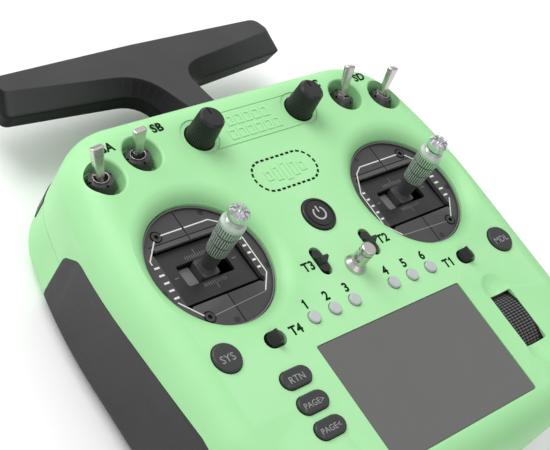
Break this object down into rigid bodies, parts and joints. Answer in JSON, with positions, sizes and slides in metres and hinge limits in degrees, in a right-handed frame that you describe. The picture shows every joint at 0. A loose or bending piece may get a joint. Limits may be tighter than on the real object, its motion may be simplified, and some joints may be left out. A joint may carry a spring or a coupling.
{
  "type": "radio transmitter controller",
  "caption": "Handheld radio transmitter: two gimbal sticks, toggle switches, dials, trims, keys, scroll wheel, display, rubber grips and a folding T antenna.",
  "frame": {"origin": "centre of the case's back face, on which it rests", "axes": "+Y up the face towards the antenna, +Z out of the face towards the user, +X to the user's right"},
  "size_m": [0.188, 0.2246, 0.0809],
  "materials": {
    "case_plastic": "satin",
    "grip_rubber": "matte",
    "antenna_plastic": "matte",
    "black_plastic": "satin",
    "charcoal_plastic": "satin",
    "key_plastic": "satin",
    "button_plastic": "satin",
    "display_glass": "gloss",
    "circuit_board": "satin",
    "steel": "satin",
    "nickel": "polished",
    "dark_nut": "satin",
    "aluminium": "bright machined",
    "cell_wrap": "gloss"
  },
  "bodies": {
    "body": {"front_shell": "case_plastic", "rear_shell": "case_plastic", "left_grip": "grip_rubber", "right_grip": "grip_rubber", "module_bay_cover": "case_plastic", "antenna_hinge_pin": "steel", "display_lens": "display_glass", "display_module": "black_plastic", "main_circuit_board": "circuit_board", "keypad_board": "circuit_board", "rf_module": "black_plastic", "speaker": "black_plastic", "edge_sockets": "steel", "battery_cells": "cell_wrap", "neck_strap_hook": "nickel", "case_screws": "steel", "gimbal_screws": "dark_nut", "toggle_switch_bodies": "nickel", "toggle_dress_nuts": "dark_nut", "dial_potentiometers": "black_plastic", "gimbal_ring_plates": "charcoal_plastic", "gimbal_frames": "black_plastic"},
    "antenna": {"antenna_front_cover": "antenna_plastic", "antenna_rear_cover": "antenna_plastic", "antenna_element": "circuit_board"},
    "battery_door": {"battery_door": "case_plastic"},
    "left_yoke": {"left_gimbal_yoke": "black_plastic"},
    "left_stick": {"left_stick_cradle": "charcoal_plastic", "left_stick_barrel": "aluminium", "left_stick_crown": "aluminium"},
    "left_dial": {"left_dial_knob": "black_plastic"},
    "left_horizontal_trim": {"left_horizontal_trim": "black_plastic"},
    "left_vertical_trim": {"left_vertical_trim": "black_plastic"},
    "left_shoulder_button": {"left_shoulder_button": "black_plastic"},
    "right_yoke": {"right_gimbal_yoke": "black_plastic"},
    "right_stick": {"right_stick_cradle": "charcoal_plastic", "right_stick_barrel": "aluminium", "right_stick_crown": "aluminium"},
    "right_dial": {"right_dial_knob": "black_plastic"},
    "right_horizontal_trim": {"right_horizontal_trim": "black_plastic"},
    "right_vertical_trim": {"right_vertical_trim": "black_plastic"},
    "right_shoulder_button": {"right_shoulder_button": "black_plastic"},
    "toggle_a": {"toggle_lever_a": "nickel"},
    "toggle_b": {"toggle_lever_b": "nickel"},
    "toggle_c": {"toggle_lever_c": "nickel"},
    "toggle_d": {"toggle_lever_d": "nickel"},
    "function_button_1": {"function_button_1": "button_plastic"},
    "function_button_2": {"function_button_2": "button_plastic"},
    "function_button_3": {"function_button_3": "button_plastic"},
    "function_button_4": {"function_button_4": "button_plastic"},
    "function_button_5": {"function_button_5": "button_plastic"},
    "function_button_6": {"function_button_6": "button_plastic"},
    "power_button": {"power_button": "black_plastic"},
    "system_key": {"system_key": "key_plastic"},
    "model_key": {"model_key": "key_plastic"},
    "return_key": {"return_key": "key_plastic"},
    "page_next_key": {"page_next_key": "key_plastic"},
    "page_back_key": {"page_back_key": "key_plastic"},
    "wheel_axle": {"scroll_wheel_axle": "steel"},
    "wheel": {"scroll_wheel": "black_plastic"}
  },
  "joints": [
    {"name": "antenna_fold", "type": "hinge", "parent": "body", "child": "antenna", "pos_m": [0, 0.08178, 0.03558], "axis": [1, 0, 0], "range_deg": [-60, 18]},
    {"name": "battery_door_slide", "type": "slide", "parent": "body", "child": "battery_door", "axis": [0, -1, 0], "range_m": [0, 0.06]},
    {"name": "left_stick_up_down", "type": "hinge", "parent": "body", "child": "left_yoke", "pos_m": [-0.0532, 0.02075, 0.036], "axis": [1, 0, 0], "range_deg": [-22, 28]},
    {"name": "left_stick_left_right", "type": "hinge", "parent": "left_yoke", "child": "left_stick", "pos_m": [-0.0532, 0.02075, 0.036], "axis": [0, 0.9986, -0.0523], "range_deg": [-25, 25], "stiffness_Nm_per_rad": 0.06},
    {"name": "left_dial_turn", "type": "hinge", "parent": "body", "child": "left_dial", "pos_m": [-0.0264, 0.06845, 0.06], "axis": [0, 0, 1], "range_deg": [-140, 140]},
    {"name": "left_horizontal_trim_tilt", "type": "hinge", "parent": "body", "child": "left_horizontal_trim", "pos_m": [-0.0525, -0.016, 0.044], "axis": [0, 1, 0], "range_deg": [-5, 5], "stiffness_Nm_per_rad": 0.05},
    {"name": "left_vertical_trim_tilt", "type": "hinge", "parent": "body", "child": "left_vertical_trim", "pos_m": [-0.0133, 0.0045, 0.044], "axis": [1, 0, 0], "range_deg": [-5, 5], "stiffness_Nm_per_rad": 0.05},
    {"name": "left_shoulder_button_press", "type": "slide", "parent": "body", "child": "left_shoulder_button", "axis": [0.5736, -0.8192, 0], "range_m": [0, 0.0015], "stiffness_N_per_m": 500},
    {"name": "right_stick_up_down", "type": "hinge", "parent": "body", "child": "right_yoke", "pos_m": [0.0532, 0.02075, 0.036], "axis": [1, 0, 0], "range_deg": [-22, 28], "stiffness_Nm_per_rad": 0.06},
    {"name": "right_stick_left_right", "type": "hinge", "parent": "right_yoke", "child": "right_stick", "pos_m": [0.0532, 0.02075, 0.036], "axis": [0, 0.9986, -0.0523], "range_deg": [-25, 25], "stiffness_Nm_per_rad": 0.06},
    {"name": "right_dial_turn", "type": "hinge", "parent": "body", "child": "right_dial", "pos_m": [0.0264, 0.06845, 0.06], "axis": [0, 0, 1], "range_deg": [-140, 140]},
    {"name": "right_horizontal_trim_tilt", "type": "hinge", "parent": "body", "child": "right_horizontal_trim", "pos_m": [0.0525, -0.016, 0.044], "axis": [0, 1, 0], "range_deg": [-5, 5], "stiffness_Nm_per_rad": 0.05},
    {"name": "right_vertical_trim_tilt", "type": "hinge", "parent": "body", "child": "right_vertical_trim", "pos_m": [0.0133, 0.0045, 0.044], "axis": [1, 0, 0], "range_deg": [-5, 5], "stiffness_Nm_per_rad": 0.05},
    {"name": "right_shoulder_button_press", "type": "slide", "parent": "body", "child": "right_shoulder_button", "axis": [-0.5736, -0.8192, 0], "range_m": [0, 0.0015], "stiffness_N_per_m": 500},
    {"name": "toggle_a_flip", "type": "hinge", "parent": "body", "child": "toggle_a", "pos_m": [-0.074, 0.0638, 0.0505], "axis": [0.9781, 0, 0.2079], "range_deg": [0, 26]},
    {"name": "toggle_b_flip", "type": "hinge", "parent": "body", "child": "toggle_b", "pos_m": [-0.054, 0.0686, 0.0505], "axis": [0.9781, 0, 0.2079], "range_deg": [-13, 13]},
    {"name": "toggle_c_flip", "type": "hinge", "parent": "body", "child": "toggle_c", "pos_m": [0.054, 0.0686, 0.0505], "axis": [0.9781, 0, -0.2079], "range_deg": [0, 26]},
    {"name": "toggle_d_flip", "type": "hinge", "parent": "body", "child": "toggle_d", "pos_m": [0.074, 0.0638, 0.0505], "axis": [0.9781, 0, -0.2079], "range_deg": [-8, 18]},
    {"name": "function_button_1_press", "type": "slide", "parent": "body", "child": "function_button_1", "axis": [0, 0, -1], "range_m": [0, 0.0006], "stiffness_N_per_m": 400},
    {"name": "function_button_2_press", "type": "slide", "parent": "body", "child": "function_button_2", "axis": [0, 0, -1], "range_m": [0, 0.0006], "stiffness_N_per_m": 400},
    {"name": "function_button_3_press", "type": "slide", "parent": "body", "child": "function_button_3", "axis": [0, 0, -1], "range_m": [0, 0.0006], "stiffness_N_per_m": 400},
    {"name": "function_button_4_press", "type": "slide", "parent": "body", "child": "function_button_4", "axis": [0, 0, -1], "range_m": [0, 0.0006], "stiffness_N_per_m": 400},
    {"name": "function_button_5_press", "type": "slide", "parent": "body", "child": "function_button_5", "axis": [0, 0, -1], "range_m": [0, 0.0006], "stiffness_N_per_m": 400},
    {"name": "function_button_6_press", "type": "slide", "parent": "body", "child": "function_button_6", "axis": [0, 0, -1], "range_m": [0, 0.0006], "stiffness_N_per_m": 400},
    {"name": "power_button_press", "type": "slide", "parent": "body", "child": "power_button", "axis": [0, 0, -1], "range_m": [0, 0.0006], "stiffness_N_per_m": 400},
    {"name": "system_key_press", "type": "slide", "parent": "body", "child": "system_key", "axis": [0, 0, -1], "range_m": [0, 0.0008], "stiffness_N_per_m": 400},
    {"name": "model_key_press", "type": "slide", "parent": "body", "child": "model_key", "axis": [0, 0, -1], "range_m": [0, 0.0008], "stiffness_N_per_m": 400},
    {"name": "return_key_press", "type": "slide", "parent": "body", "child": "return_key", "axis": [0, 0, -1], "range_m": [0, 0.0008], "stiffness_N_per_m": 400},
    {"name": "page_next_key_press", "type": "slide", "parent": "body", "child": "page_next_key", "axis": [0, 0, -1], "range_m": [0, 0.0008], "stiffness_N_per_m": 400},
    {"name": "page_back_key_press", "type": "slide", "parent": "body", "child": "page_back_key", "axis": [0, 0, -1], "range_m": [0, 0.0008], "stiffness_N_per_m": 400},
    {"name": "scroll_wheel_press", "type": "slide", "parent": "body", "child": "wheel_axle", "axis": [0, 0, -1], "range_m": [0, 0.0006], "stiffness_N_per_m": 500},
    {"name": "scroll_wheel_turn", "type": "hinge", "parent": "wheel_axle", "child": "wheel", "pos_m": [0.05535, -0.04725, 0.0338], "axis": [1, 0, 0], "continuous": true}
  ]
}
